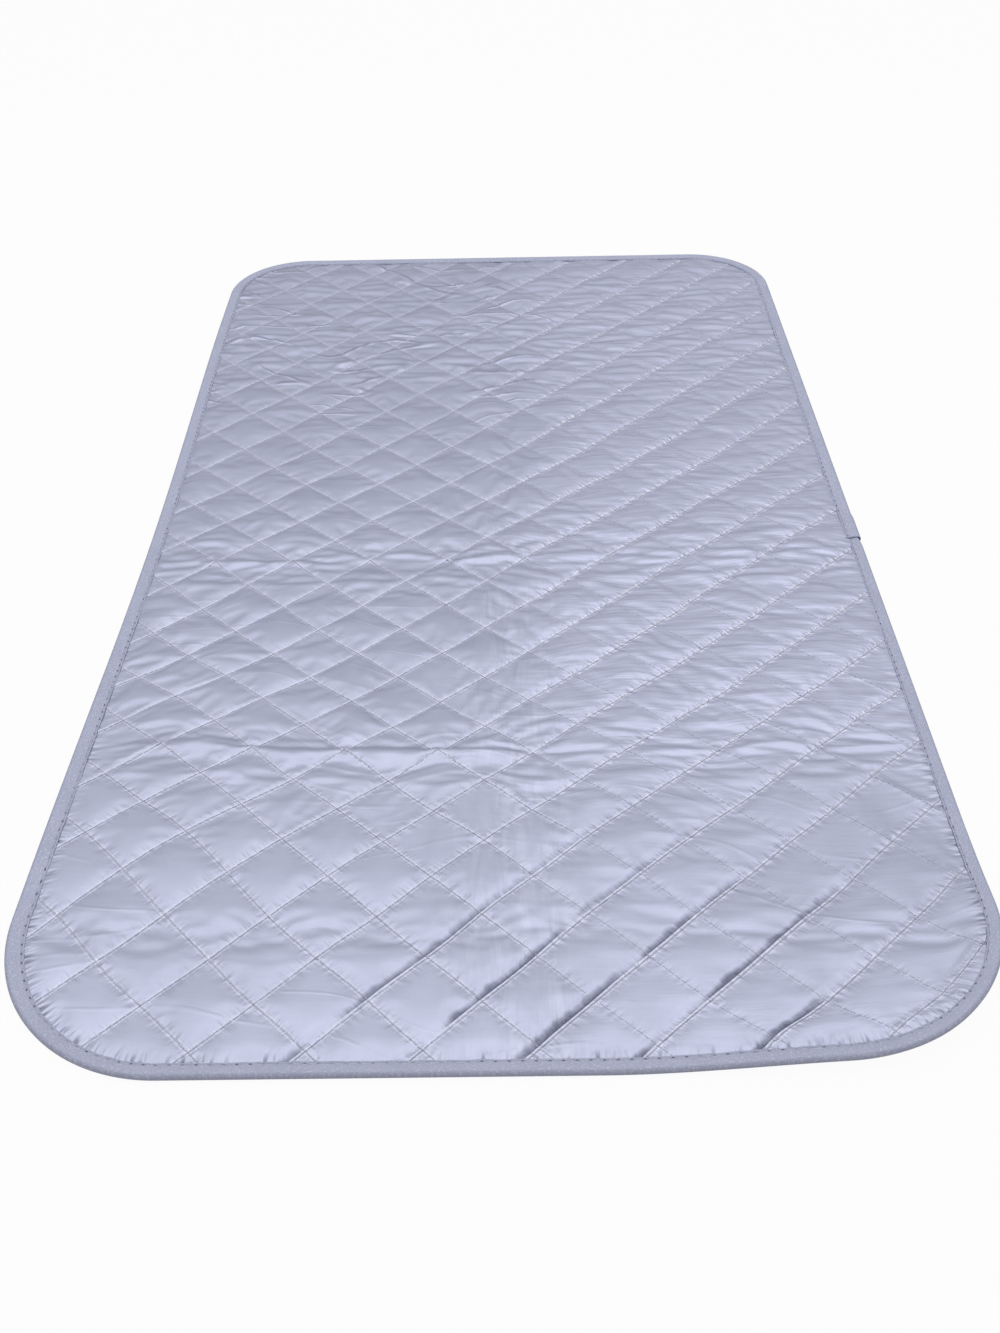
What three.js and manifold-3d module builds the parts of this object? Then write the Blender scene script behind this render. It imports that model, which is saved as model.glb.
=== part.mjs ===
// Quilted ironing pad: a face cloth, wadding and a backing cloth sewn together in diamonds and bound round the edge.
// The pad is two halves that fold face to face along the crease across its middle.
// Lengths are in millimetres. X runs across the pad, Y runs from the front edge to the rear edge, Z points up.
import * as THREE from "three";
import Module from "manifold-3d";
import { mergeVertices } from "three/addons/utils/BufferGeometryUtils.js";

// Plan of the pad
const WIDTH = 480;
const LENGTH = 850;
const FRONT_CORNER = 88;
const REAR_CORNER = 65;
const CORNER_STEPS = 6;

// Gap between the two halves along the crease
const CREASE_GAP = 0.8;

// Diamond quilting: the diagonal of a diamond, one crossing of the lines, and the form of a padded diamond
const DIAMOND = 50;
const CROSSING_X = -9;
const CROSSING_Y = 13;
const CROWN_RISE = 3.2;
const LEVEL_SHARE = 0.55;
const SHORTEST_LINE = 20;
const SMALLEST_PATCH = 4;
const SAME_POINT = 0.01;

// Materials, by thickness
const CLOTH = 0.35;
const SEWN_WADDING = 0.7;
const THREAD = 0.3;
const TAPE = 0.6;
const PRESSED_TAPE = 0.25;
const SLIP = 0.1;
const EDGE_CLEARANCE = 0.4;

// Edge binding: the tape's reach on to the pad, its rolled edge, its sewn strip and its lapped end
const TAPE_REACH = 9.5;
const TAPE_ROLL_IN = 1;
const TAPE_ROLL_UP = 1.2;
const SEWN_STRIP = 3;
const SEWN_STRIP_RAMP = 0.6;
const SEAM_FROM_TAPE_EDGE = 1.4;
const LAP_RAISE = 0.5;
const LAP_LENGTH = 22;
const LAP_FADE = 8;

// Where the quilting threads turn round under the tape, and how much fuller they are there
const TURN_INSET = 6;
const TURN_EXTRA = 0.04;

// Heights of the layers, from the resting face up
const RISING_BOBBIN_Z = TAPE + SLIP;
const FALLING_BOBBIN_Z = RISING_BOBBIN_Z + THREAD + SLIP;
const BACKING_Z = FALLING_BOBBIN_Z + THREAD + SLIP;
const WADDING_Z = BACKING_Z + CLOTH + SLIP;
const WADDING_SEWN_Z = WADDING_Z + SEWN_WADDING;
const FACE_Z = WADDING_SEWN_Z + SLIP;
const FACE_SEWN_Z = FACE_Z + CLOTH;
const RISING_THREAD_Z = FACE_SEWN_Z + SLIP;
const FALLING_THREAD_Z = RISING_THREAD_Z + THREAD + SLIP;
const TAPE_UNDER_Z = FALLING_THREAD_Z + THREAD + SLIP;
const TAPE_TOP_Z = TAPE_UNDER_Z + TAPE;
const SEAM_THREAD_Z = TAPE_UNDER_Z + PRESSED_TAPE + SLIP;
const SEAM_BOBBIN_Z = (TAPE - PRESSED_TAPE - THREAD) / 2;

// Insets from the outer edge
const LAYER_INSET = TAPE + EDGE_CLEARANCE;
const FIELD_INSET = TAPE_REACH + EDGE_CLEARANCE;
const SEAM_INSET = TAPE_REACH - SEAM_FROM_TAPE_EDGE;

// Colours and finishes
const FACE_LOOK = { color: 0xb4bacf, roughness: 0.42, metalness: 0.35 };
const WADDING_LOOK = { color: 0xf0efea, roughness: 0.95, metalness: 0 };
const BACKING_LOOK = { color: 0xc9ccd2, roughness: 0.9, metalness: 0 };
const TAPE_LOOK = { color: 0x9aa2b6, roughness: 0.7, metalness: 0 };
const THREAD_LOOK = { color: 0xd9dde8, roughness: 0.6, metalness: 0 };

const FRONT = { name: "front", way: -1, corner: FRONT_CORNER, lapped: false };
const REAR = { name: "rear", way: 1, corner: REAR_CORNER, lapped: true };

const wasm = await Module();
wasm.setup();

const pad = new THREE.Group();
pad.name = "ironing_pad";

function addMesh(name, geometry, look) {
  const mesh = new THREE.Mesh(geometry, new THREE.MeshStandardMaterial(look));
  mesh.name = name;
  pad.add(mesh);
}

// The rim of a half at an inset: from the crease, round both corners and back to the crease, anticlockwise
function rim(half, inset) {
  const turn = half.way < 0 ? Math.PI : 0;
  const radius = half.corner - inset;
  const startSide = Math.cos(turn);
  const creaseY = (half.way * CREASE_GAP) / 2;
  const points = [];
  const addEnd = (side) => {
    const at = new THREE.Vector2(side * (WIDTH / 2 - inset), creaseY);
    points.push({ at, out: new THREE.Vector2(side, 0) });
  };
  addEnd(startSide);
  for (const corner of [0, 1]) {
    const centre = cornerCentre(half, corner === 0 ? startSide : -startSide);
    for (let step = 0; step <= CORNER_STEPS; step++) {
      const angle = turn + ((corner + step / CORNER_STEPS) * Math.PI) / 2;
      const out = new THREE.Vector2(Math.cos(angle), Math.sin(angle));
      points.push({ at: centre.clone().addScaledVector(out, radius), out });
    }
  }
  addEnd(-startSide);
  return points;
}

function cornerCentre(half, side) {
  return new THREE.Vector2(side * (WIDTH / 2 - half.corner), half.way * (LENGTH / 2 - half.corner));
}

// The way out of the pad at a point of the rim
function outward(half, point) {
  const centre = cornerCentre(half, Math.sign(point.x));
  const pastX = (point.x - centre.x) * Math.sign(point.x);
  const pastY = (point.y - centre.y) * half.way;
  if (pastX > 0 && pastY > 0) return point.clone().sub(centre).normalize();
  if (pastX > pastY) return new THREE.Vector2(Math.sign(point.x), 0);
  return new THREE.Vector2(0, half.way);
}

// The part of a convex shape that lies inside another, both anticlockwise
function clipped(shape, region) {
  let kept = shape;
  for (let i = 0; i < region.length; i++) {
    const from = region[i];
    const along = region[(i + 1) % region.length].clone().sub(from);
    const inside = (p) => along.cross(p.clone().sub(from));
    const next = [];
    for (let k = 0; k < kept.length; k++) {
      const a = kept[k];
      const b = kept[(k + 1) % kept.length];
      const sideA = inside(a);
      const sideB = inside(b);
      if (sideA >= 0) next.push(a);
      if (sideA * sideB < 0) next.push(a.clone().lerp(b, sideA / (sideA - sideB)));
    }
    kept = next;
  }
  return kept;
}

function apartFromNext(point, k, all) {
  return point.distanceTo(all[(k + 1) % all.length]) > SAME_POINT;
}

// The diamonds of a half, those at its rim and at the crease cut short
function diamonds(half) {
  const region = rim(half, FIELD_INSET).map((p) => p.at);
  const step = DIAMOND / 2;
  const across = Math.ceil(WIDTH / DIAMOND) + 1;
  const along = Math.ceil(LENGTH / DIAMOND) + 1;
  const found = [];
  for (let m = -across; m <= across; m++) {
    for (let n = -along; n <= along; n++) {
      if (Math.abs(m + n) % 2 === 0) continue;
      const x = CROSSING_X + m * step;
      const y = CROSSING_Y + n * step;
      const corners = [
        new THREE.Vector2(x + step, y),
        new THREE.Vector2(x, y + step),
        new THREE.Vector2(x - step, y),
        new THREE.Vector2(x, y - step),
      ];
      const patch = clipped(corners, region).filter(apartFromNext);
      if (patch.length > 2 && THREE.ShapeUtils.area(patch) > SMALLEST_PATCH) found.push(patch);
    }
  }
  return found;
}

function lifted(point, z) {
  return new THREE.Vector3(point.x, point.y, z);
}

// A quilted surface, low along the seams and raised inside each diamond
function quilted(half, patches, low, rise, levelShare) {
  const triangles = [];
  const wholeArea = (DIAMOND * DIAMOND) / 2;
  for (const patch of patches) {
    const count = patch.length;
    const middle = patch.reduce((sum, p) => sum.add(p), new THREE.Vector2()).divideScalar(count);
    const share = THREE.ShapeUtils.area(patch) / wholeArea;
    const top = low + rise * share;
    const foot = patch.map((p) => lifted(p, low));
    const level = patch.map((p) => lifted(middle.clone().lerp(p, levelShare), top));
    for (let k = 0; k < count; k++) {
      const next = (k + 1) % count;
      if (levelShare > 0 && count === 4) {
        triangles.push([foot[k], foot[next], level[next]]);
        triangles.push([foot[k], level[next], level[k]]);
        if (k > 1) triangles.push([level[0], level[k - 1], level[k]]);
      } else {
        triangles.push([foot[k], foot[next], lifted(middle, top)]);
      }
    }
  }
  const margin = FIELD_INSET - LAYER_INSET;
  const moved = (p) => {
    const at = new THREE.Vector2(p.x, p.y);
    return lifted(at.addScaledVector(outward(half, at), margin), low);
  };
  for (const [a, b] of openEdges(triangles)) {
    if (onCrease(a) && onCrease(b)) continue;
    triangles.push([b, a, moved(a)]);
    triangles.push([b, moved(a), moved(b)]);
  }
  return triangles;
}

function onCrease(point) {
  return Math.abs(point.y) < CREASE_GAP;
}

// The edges that only one triangle has, with the surface on their left
function openEdges(triangles) {
  const key = (p) => `${p.x.toFixed(3)} ${p.y.toFixed(3)}`;
  const edges = new Map();
  for (const triangle of triangles) {
    for (let k = 0; k < triangle.length; k++) {
      const a = triangle[k];
      const b = triangle[(k + 1) % triangle.length];
      if (!edges.delete(`${key(b)} ${key(a)}`)) edges.set(`${key(a)} ${key(b)}`, [a, b]);
    }
  }
  return [...edges.values()];
}

function geometryOf(triangles) {
  return new THREE.BufferGeometry().setFromPoints(triangles.flat());
}

// A layer between two surfaces with one outline
function layer(top, bottom, bottomZ) {
  const triangles = [...top];
  for (const [a, b, c] of bottom) triangles.push([a, c, b]);
  for (const [a, b] of openEdges(top)) {
    triangles.push([lifted(a, bottomZ), lifted(b, bottomZ), b]);
    triangles.push([lifted(a, bottomZ), b, a]);
  }
  return geometryOf(triangles);
}

// A flat underside for a quilted surface
function flatUnder(half, top, z) {
  const middle = new THREE.Vector3(0, (half.way * LENGTH) / 4, z);
  return openEdges(top).map(([a, b]) => [lifted(a, z), lifted(b, z), middle]);
}

// A closed run of one section along the rim; a section point is (distance in from the rim, height)
function run(stations) {
  const rings = stations.map(({ at, out, section }) =>
    section.map((s) => lifted(at.clone().addScaledVector(out, -s.x), s.y)),
  );
  const first = stations[0].section;
  const faces = THREE.ShapeUtils.triangulateShape(first, []);
  const clockwise = THREE.ShapeUtils.area(first) < 0;
  const triangles = [];
  const add = (a, b, c) => triangles.push(clockwise ? [a, b, c] : [a, c, b]);
  for (let i = 1; i < rings.length; i++) {
    for (let k = 0; k < first.length; k++) {
      const next = (k + 1) % first.length;
      add(rings[i - 1][k], rings[i][k], rings[i][next]);
      add(rings[i - 1][k], rings[i][next], rings[i - 1][next]);
    }
  }
  const last = rings[rings.length - 1];
  const capWay = THREE.ShapeUtils.area(faces[0].map((k) => first[k])) < 0 === clockwise;
  for (const [a, b, c] of faces) {
    const [p, q] = capWay ? [b, c] : [c, b];
    add(rings[0][a], rings[0][p], rings[0][q]);
    add(last[a], last[q], last[p]);
  }
  return geometryOf(triangles);
}

function box(from, to, low, high) {
  return [
    new THREE.Vector2(from, low),
    new THREE.Vector2(to, low),
    new THREE.Vector2(to, high),
    new THREE.Vector2(from, high),
  ];
}

// The folded tape's section, its cut edges pressed thin by the seam; raise lifts the outside at the lapped end
function tapeSection(raise) {
  const strip = TAPE_REACH - SEWN_STRIP;
  const ramp = strip + SEWN_STRIP_RAMP;
  const top = TAPE_TOP_Z + raise;
  const pressedTop = TAPE_UNDER_Z + PRESSED_TAPE;
  const pressedUnder = TAPE - PRESSED_TAPE;
  return [
    new THREE.Vector2(TAPE_ROLL_IN, 0),
    new THREE.Vector2(strip, 0),
    new THREE.Vector2(ramp, pressedUnder),
    new THREE.Vector2(TAPE_REACH, pressedUnder),
    new THREE.Vector2(TAPE_REACH, TAPE),
    new THREE.Vector2(TAPE_ROLL_IN, TAPE),
    new THREE.Vector2(TAPE, TAPE_ROLL_UP),
    new THREE.Vector2(TAPE, TAPE_TOP_Z - TAPE_ROLL_UP),
    new THREE.Vector2(TAPE_ROLL_IN, TAPE_UNDER_Z),
    new THREE.Vector2(TAPE_REACH, TAPE_UNDER_Z),
    new THREE.Vector2(TAPE_REACH, pressedTop),
    new THREE.Vector2(ramp, pressedTop),
    new THREE.Vector2(strip, top),
    new THREE.Vector2(TAPE_ROLL_IN - raise, top),
    new THREE.Vector2(-raise, top - TAPE_ROLL_UP),
    new THREE.Vector2(-raise, TAPE_ROLL_UP),
  ];
}

function binding(half) {
  const plain = tapeSection(0);
  const stations = rim(half, 0).map((p) => ({ ...p, section: plain }));
  if (half.lapped) {
    const start = stations[0];
    const lapped = tapeSection(LAP_RAISE);
    const moved = (distance, section) => {
      const at = new THREE.Vector2(start.at.x, start.at.y + half.way * distance);
      return { at, out: start.out, section };
    };
    stations.splice(0, 1, moved(0, lapped), moved(LAP_LENGTH, lapped), moved(LAP_LENGTH + LAP_FADE, plain));
  }
  return run(stations);
}

function threadRun(half, inset, z, extra) {
  const section = box(-THREAD / 2 - extra, THREAD / 2 + extra, z - extra, z + THREAD + extra);
  return run(rim(half, inset).map((p) => ({ ...p, section })));
}

function solidOf(geometry) {
  const bare = geometry.clone();
  bare.deleteAttribute("normal");
  bare.deleteAttribute("uv");
  const merged = mergeVertices(bare, SLIP / DIAMOND);
  const vertProperties = Float32Array.from(merged.attributes.position.array);
  const triVerts = Uint32Array.from(merged.index.array);
  return new wasm.Manifold(new wasm.Mesh({ numProp: 3, vertProperties, triVerts }));
}

function geometryFrom(solid) {
  const mesh = solid.getMesh();
  const geometry = new THREE.BufferGeometry();
  geometry.setAttribute("position", new THREE.BufferAttribute(mesh.vertProperties, 3));
  geometry.setIndex(new THREE.BufferAttribute(mesh.triVerts, 1));
  return geometry;
}

// All the quilting lines of one direction in a half; the thread turns from line to line under the tape
function quiltThread(half, slope, z) {
  const region = rim(half, TURN_INSET).map((p) => p.at);
  let thread = solidOf(threadRun(half, TURN_INSET, z, TURN_EXTRA));
  const most = Math.ceil((WIDTH + LENGTH) / DIAMOND);
  const far = WIDTH + LENGTH;
  for (let n = -most; n <= most; n++) {
    const middle = new THREE.Vector2(CROSSING_X + n * DIAMOND, CROSSING_Y);
    const ends = lineInside(middle, new THREE.Vector2(far, slope * far), region);
    if (!ends) continue;
    const length = ends[0].distanceTo(ends[1]);
    if (length < SHORTEST_LINE) continue;
    const between = ends[0].clone().add(ends[1]).divideScalar(2);
    const bar = new THREE.BoxGeometry(length, THREAD, THREAD);
    bar.rotateZ((slope * Math.PI) / 4);
    bar.translate(between.x, between.y, z + THREAD / 2);
    thread = thread.add(solidOf(bar));
  }
  return geometryFrom(thread);
}

// The ends of a long line through a point, cut off by a convex region; an end on the crease stops short of it
function lineInside(middle, reach, region) {
  const from = middle.clone().sub(reach);
  const to = middle.clone().add(reach);
  for (let i = 0; i < region.length; i++) {
    const edge = region[(i + 1) % region.length].clone().sub(region[i]);
    const sideFrom = edge.cross(from.clone().sub(region[i]));
    const sideTo = edge.cross(to.clone().sub(region[i]));
    if (sideFrom < 0 && sideTo < 0) return null;
    const meet = from.clone().lerp(to, sideFrom / (sideFrom - sideTo));
    if (sideFrom < 0) from.copy(meet);
    if (sideTo < 0) to.copy(meet);
  }
  const way = to.clone().sub(from).normalize();
  if (onCrease(from)) from.addScaledVector(way, THREAD);
  if (onCrease(to)) to.addScaledVector(way, -THREAD);
  return [from, to];
}

function backing(half) {
  const shape = new THREE.Shape(rim(half, LAYER_INSET).map((p) => p.at));
  const geometry = new THREE.ExtrudeGeometry(shape, { depth: CLOTH, bevelEnabled: false });
  return geometry.translate(0, 0, BACKING_Z);
}

for (const half of [FRONT, REAR]) {
  const patches = diamonds(half);
  const faceTop = quilted(half, patches, FACE_SEWN_Z, CROWN_RISE, LEVEL_SHARE);
  const faceUnder = quilted(half, patches, FACE_Z, CROWN_RISE, 0);
  const waddingTop = quilted(half, patches, WADDING_SEWN_Z, CROWN_RISE, 0);
  const waddingUnder = flatUnder(half, waddingTop, WADDING_Z);
  addMesh(`face_cloth_${half.name}`, layer(faceTop, faceUnder, FACE_Z), FACE_LOOK);
  addMesh(`wadding_${half.name}`, layer(waddingTop, waddingUnder, WADDING_Z), WADDING_LOOK);
  addMesh(`backing_cloth_${half.name}`, backing(half), BACKING_LOOK);
  addMesh(`edge_binding_${half.name}`, binding(half), TAPE_LOOK);
  addMesh(`rising_quilt_thread_${half.name}`, quiltThread(half, 1, RISING_THREAD_Z), THREAD_LOOK);
  addMesh(`falling_quilt_thread_${half.name}`, quiltThread(half, -1, FALLING_THREAD_Z), THREAD_LOOK);
  addMesh(`rising_bobbin_thread_${half.name}`, quiltThread(half, 1, RISING_BOBBIN_Z), THREAD_LOOK);
  addMesh(`falling_bobbin_thread_${half.name}`, quiltThread(half, -1, FALLING_BOBBIN_Z), THREAD_LOOK);
  addMesh(`binding_seam_thread_${half.name}`, threadRun(half, SEAM_INSET, SEAM_THREAD_Z, 0), THREAD_LOOK);
  addMesh(`binding_bobbin_thread_${half.name}`, threadRun(half, SEAM_INSET, SEAM_BOBBIN_Z, 0), THREAD_LOOK);
}

export default pad;
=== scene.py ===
import math

import bpy
import numpy as np
from mathutils import Matrix, Vector
from mathutils.bvhtree import BVHTree


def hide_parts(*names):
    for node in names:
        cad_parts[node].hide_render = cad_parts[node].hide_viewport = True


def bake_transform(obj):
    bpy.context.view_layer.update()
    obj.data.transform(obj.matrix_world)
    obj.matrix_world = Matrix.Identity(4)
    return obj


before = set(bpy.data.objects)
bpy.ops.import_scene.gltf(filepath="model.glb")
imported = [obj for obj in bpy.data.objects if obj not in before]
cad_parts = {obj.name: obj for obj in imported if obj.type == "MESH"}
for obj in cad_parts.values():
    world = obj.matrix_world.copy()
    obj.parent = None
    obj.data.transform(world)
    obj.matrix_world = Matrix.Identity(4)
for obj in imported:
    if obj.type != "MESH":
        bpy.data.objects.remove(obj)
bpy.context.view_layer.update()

MM = 0.001
ROOT_2 = math.sqrt(2)

# Sizes of the pad, in metres, as in the solids
WIDTH = 0.480
LENGTH = 0.850
FRONT_CORNER = 0.088
REAR_CORNER = 0.065
DIAMOND = 0.050
SIDE = DIAMOND / ROOT_2
CROSSING = (-0.009, 0.013)
FACE_SEWN = 3.1 * MM
BACKING_SEWN = 1.5 * MM

# How far along the edge each straight and each corner ends, from the right by the front
RIM_RUNS = np.cumsum([
    0,
    LENGTH / 2 - FRONT_CORNER,
    FRONT_CORNER * math.pi / 2,
    WIDTH - 2 * FRONT_CORNER,
    FRONT_CORNER * math.pi / 2,
    LENGTH - FRONT_CORNER - REAR_CORNER,
    REAR_CORNER * math.pi / 2,
    WIDTH - 2 * REAR_CORNER,
    REAR_CORNER * math.pi / 2,
    LENGTH / 2 - REAR_CORNER,
])
RIM_LENGTH = RIM_RUNS[9]

# The cloths: cells across a diamond, the rim under the tape, and how the diamonds rise
FACE_CELLS = 18
BACKING_CELLS = 12
RIM_INSET = 3 * MM
CROWN = 1.3 * MM
BACK_CROWN = 0.9 * MM
FACE_SHALLOW = 0.94
BACK_SHALLOW = 0.3
CREST_HIGH = 1.0 * MM
FURROW_DEEP = 1.2 * MM
BACK_SPARE = 0.6
BACK_DROP = 0.55
BACK_PUCKER = 0.3
HOLLOW_SHARE = 0.3
LOWEST = 0.05 * MM
BAKE_SPAN = 0.88

# The wadding: cells, cut edge, how far round it looks and its gaps to the cloths
WADDING_CELLS = 5
WADDING_INSET = 5 * MM
WADDING_LOOK = 3.6 * MM
WADDING_UNDER_FACE = 0.3 * MM
WADDING_UNDER_SEAM = 0.4 * MM
WADDING_RISE = 0.35
WADDING_OVER_BACKING = 0.15 * MM
WADDING_LEAST = 0.25 * MM

# Settling of the cloth: the stitches draw spare cloth in
SETTLE_SCALE = 10.0
DRAW_FRAMES = 7
SETTLE_FRAMES = 11
CLOTH_FEEL = {
    "quality": 5,
    "mass": 0.3,
    "tension_stiffness": 40,
    "compression_stiffness": 40,
    "shear_stiffness": 10,
    "bending_stiffness": 0.3,
    "tension_damping": 10,
    "compression_damping": 10,
    "shear_damping": 5,
    "bending_damping": 0.5,
    "vertex_group_mass": "sewn",
    "use_pressure": True,
    "uniform_pressure_force": 0.3,
}

# Storage creases across the pad: place, width and spare cloth in each
CROSS_CREASES = (
    (-0.230, 18 * MM, 1.8 * MM),
    (-0.050, 17 * MM, 1.5 * MM),
    (0.215, 20 * MM, 0.8 * MM),
    (0.275, 30 * MM, 1.4 * MM),
    (0.345, 18 * MM, 0.8 * MM),
    (-0.350, 5 * MM, 0.25 * MM),
)
LOOSE_CREASES = ((-0.230, 9 * MM), (-0.050, 6 * MM))
LONG_CREASE = (0.007, 32 * MM, 0.4 * MM)
CREASE_STRAY = 6 * MM
CREASE_BLEND = 0.045

# Where the right of the pad begins, and the slanting front right that is drawn in hard
RIGHT_ZONE = (-0.03, 0.06)
FURROW_FROM = 0.40
FURROW_SLANT = 1.1
FURROW_ZONE = (-0.13, -0.06)

# How the rows of diamonds lie: evenly made, closed up by the creases and spread at the rear
SPREAD = 1.046
EVEN_ROWS = np.arange(-0.487, 0.570, 0.050)
LAID_ROWS = np.array([
    -487, -437, -387, -338, -289, -247, -205, -163, -118, -70, -23,
    22, 68, 119, 173, 226, 279, 334, 391, 445, 497, 547,
]) * MM
ROW_SAMPLES = 1055
ROW_EASE = 30

# How the limp pad lies
LEFT_BOW = 5 * MM
CORNER_X = 0.205
CORNER_REACH = 0.16
CORNER_LIFT = 6.5 * MM
CORNER_PULL = 2.8 * MM
LINE_WANDER = 1.5 * MM
LEFT_ROWS_BACK = 9 * MM
RIGHT_ROWS_FORWARD = 8 * MM

# The folded tape and its seam
TAPE_REACH = 9.5 * MM
FRONT_TAKE_UP = 2.2 * MM
RIGHT_TAKE_UP = 1.7 * MM
SEAM_FROM_TAPE_EDGE = 1.3 * MM
TAPE_TOP = 4.5 * MM
TAPE_ROLL = 2.25 * MM
TAPE_THICK = 0.45 * MM
TAPE_STEP = 2.5 * MM
LAP_END = -30 * MM
LAP_START = -8 * MM
LAP_FADE = 8 * MM
LAP_RAISE = 0.5 * MM
LAP_STEPS = 15
UNDER_END = LAP_END - LAP_FADE
OVER_BEGIN = LAP_START + LAP_FADE
TUCK = 1.1 * TAPE_THICK
MOST_CUTS = 12
SEAM_INSET = TAPE_REACH - SEAM_FROM_TAPE_EDGE
SEAM_TOP = 3.75 * MM

# Stitches
QUILT_PITCH = 3.6 * MM
SEAM_PITCH = 6.0 * MM
STITCH_SHARE = 0.86
STITCH_WIDE = 0.42 * MM
STITCH_HIGH = 0.3 * MM
STITCH_DIP = 0.25 * MM
STITCH_LIFT = 0.08 * MM
TURN_JITTER = 0.035
LENGTH_JITTER = (0.92, 1.05)
SIDE_JITTER = 0.08 * MM
QUILT_LINES = 16
LINE_REACH = 0.55
LINE_PHASE = 0.37
RISING_SEEDS = (41, 45)
FALLING_SEEDS = (42, 46)
SEAM_SEEDS = (51, 52)

# Weaves of the backing and the tape
BACKING_WEAVE = 0.75 * MM
TAPE_RIB = 0.7 * MM
TAPE_WALE = 0.9 * MM
DIAGONAL = 0.7071

# Soft studio light: a dome, brightest overhead, and a softbox
SIDE_LIGHT = 0.2
TOP_LIGHT = 1.0
SOFTBOX_PLACE = (0.0, 0.0, 1.4)
SOFTBOX_SIZE = (2.6, 1.2)
SOFTBOX_POWER = 6.8
FLOOR_LEVEL = -0.3 * MM

# Where the picture was taken from
CAMERA_PLACE = (0.0071, -0.7314, 0.5074)
CAMERA_PITCH = math.radians(41.134)
CAMERA_YAW = math.radians(-0.715)
CAMERA_ROLL = math.radians(-1.306)
CAMERA_SENSOR = 36
CAMERA_LENS = CAMERA_SENSOR * 1288.9 / 1333  # in pixels of the photo, over its height


def smooth(value, low, high):
    """Eases from 0 at low to 1 at high."""
    t = np.clip((value - low) / (high - low), 0, 1)
    return t * t * (3 - 2 * t)


def ripple(x, y, seed):
    """Smooth seeded waves, about one unit long and from -1 to 1 high."""
    i, j = np.floor(x).astype(np.int64), np.floor(y).astype(np.int64)
    across, along = x - i, y - j

    def lean(a, b):
        mixed = ((i + a) * 374761393 + (j + b) * 668265263 + seed * 974634777) & 0xFFFFFFFF
        mixed = ((mixed ^ (mixed >> 13)) * 1274126177) & 0xFFFFFFFF
        turn = ((mixed ^ (mixed >> 16)) & 0xFFFF) * (2 * math.pi / 65536)
        return np.cos(turn) * (across - a) + np.sin(turn) * (along - b)

    ease_x = across**3 * (across * (across * 6 - 15) + 10)
    ease_y = along**3 * (along * (along * 6 - 15) + 10)
    low = lean(0, 0) * (1 - ease_x) + lean(1, 0) * ease_x
    high = lean(0, 1) * (1 - ease_x) + lean(1, 1) * ease_x
    return (low * (1 - ease_y) + high * ease_y) * 1.5


def past_sides(x, y):
    """The corner's radius at a place, and how far the place lies past the ends of the sides."""
    corner = np.where(y < 0, FRONT_CORNER, REAR_CORNER)
    return corner, np.abs(x) - (WIDTH / 2 - corner), np.abs(y) - (LENGTH / 2 - corner)


def edge_distance(x, y):
    """How far a point lies inside the pad's rounded outline."""
    corner, out_x, out_y = past_sides(x, y)
    beyond = np.hypot(np.maximum(out_x, 0), np.maximum(out_y, 0))
    return corner - beyond - np.minimum(np.maximum(out_x, out_y), 0)


def row_table():
    """The rows as made and as laid, eased where they meet."""
    even = np.linspace(EVEN_ROWS[0], EVEN_ROWS[-1], ROW_SAMPLES)
    ease = np.hanning(2 * ROW_EASE + 1)
    laid_at = np.convolve(np.interp(even, EVEN_ROWS, LAID_ROWS), ease / ease.sum(), mode="valid")
    return even[ROW_EASE:-ROW_EASE], laid_at


EVEN, LAID = row_table()


def quilt_place(x, y):
    """A point's place across the falling and the rising stitch lines."""
    across = (x - CROSSING[0]) / SPREAD
    along = np.interp(y, LAID, EVEN) - CROSSING[1]
    return (along + across) / ROOT_2, (along - across) / ROOT_2


def pad_place(u, v):
    """The reverse of quilt_place."""
    x = CROSSING[0] + SPREAD * (u - v) / ROOT_2
    return x, np.interp(CROSSING[1] + (u + v) / ROOT_2, EVEN, LAID)


def off_line(place):
    """How far a place lies from the nearest stitch line of its family."""
    return np.abs(place / SIDE - np.round(place / SIDE)) * SIDE


def behind_line(place):
    """How far a place lies behind the last stitch line of its family."""
    return (place / SIDE - np.floor(place / SIDE + 1e-6)).clip(0, 1) * SIDE


def laid(points):
    """How the pad lies: wandering lines, shifted rows, a bowed left edge and a lifted corner."""
    x, y, z = points.T
    from_edge = edge_distance(x, y)
    loose = smooth(from_edge, 0.012, 0.05)
    wander_x = LINE_WANDER * loose * ripple(x / 0.06, y / 0.05, 21)
    wander_y = LINE_WANDER * loose * ripple(x / 0.05, y / 0.06, 22)
    inner = 1 - (1 - smooth(from_edge, 0.002, 0.03)) * smooth(-y, 0.30, 0.34)
    back = LEFT_ROWS_BACK * smooth(-x, 0.06, 0.19) * (1 - smooth(np.abs(y + 0.25), 0.05, 0.12))
    near_front = smooth(-y, 0.22, 0.34) * (1 - smooth(-y, 0.385, 0.42))
    forward = RIGHT_ROWS_FORWARD * smooth(x, 0.04, 0.17) * near_front
    bow = LEFT_BOW * smooth(-x, -0.02, WIDTH / 2) * (1 - smooth(np.abs(y + 0.03), 0, 0.36))
    corner = np.hypot((x - CORNER_X) / CORNER_REACH, (y + LENGTH / 2) / CORNER_REACH)
    lifted = 1 - smooth(corner, 0.12, 1)
    return np.column_stack([
        x + wander_x + bow,
        y + wander_y + (back - forward) * inner + CORNER_PULL * lifted,
        z + CORNER_LIFT * lifted,
    ])


def coordinates(piece):
    flat = np.empty(len(piece.data.vertices) * 3)
    piece.data.vertices.foreach_get("co", flat)
    return flat.reshape(-1, 3)


def set_coordinates(piece, points):
    piece.data.vertices.foreach_set("co", np.ascontiguousarray(points).ravel())
    piece.data.update()


def edit_piece():
    bpy.ops.object.mode_set(mode="EDIT")


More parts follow.
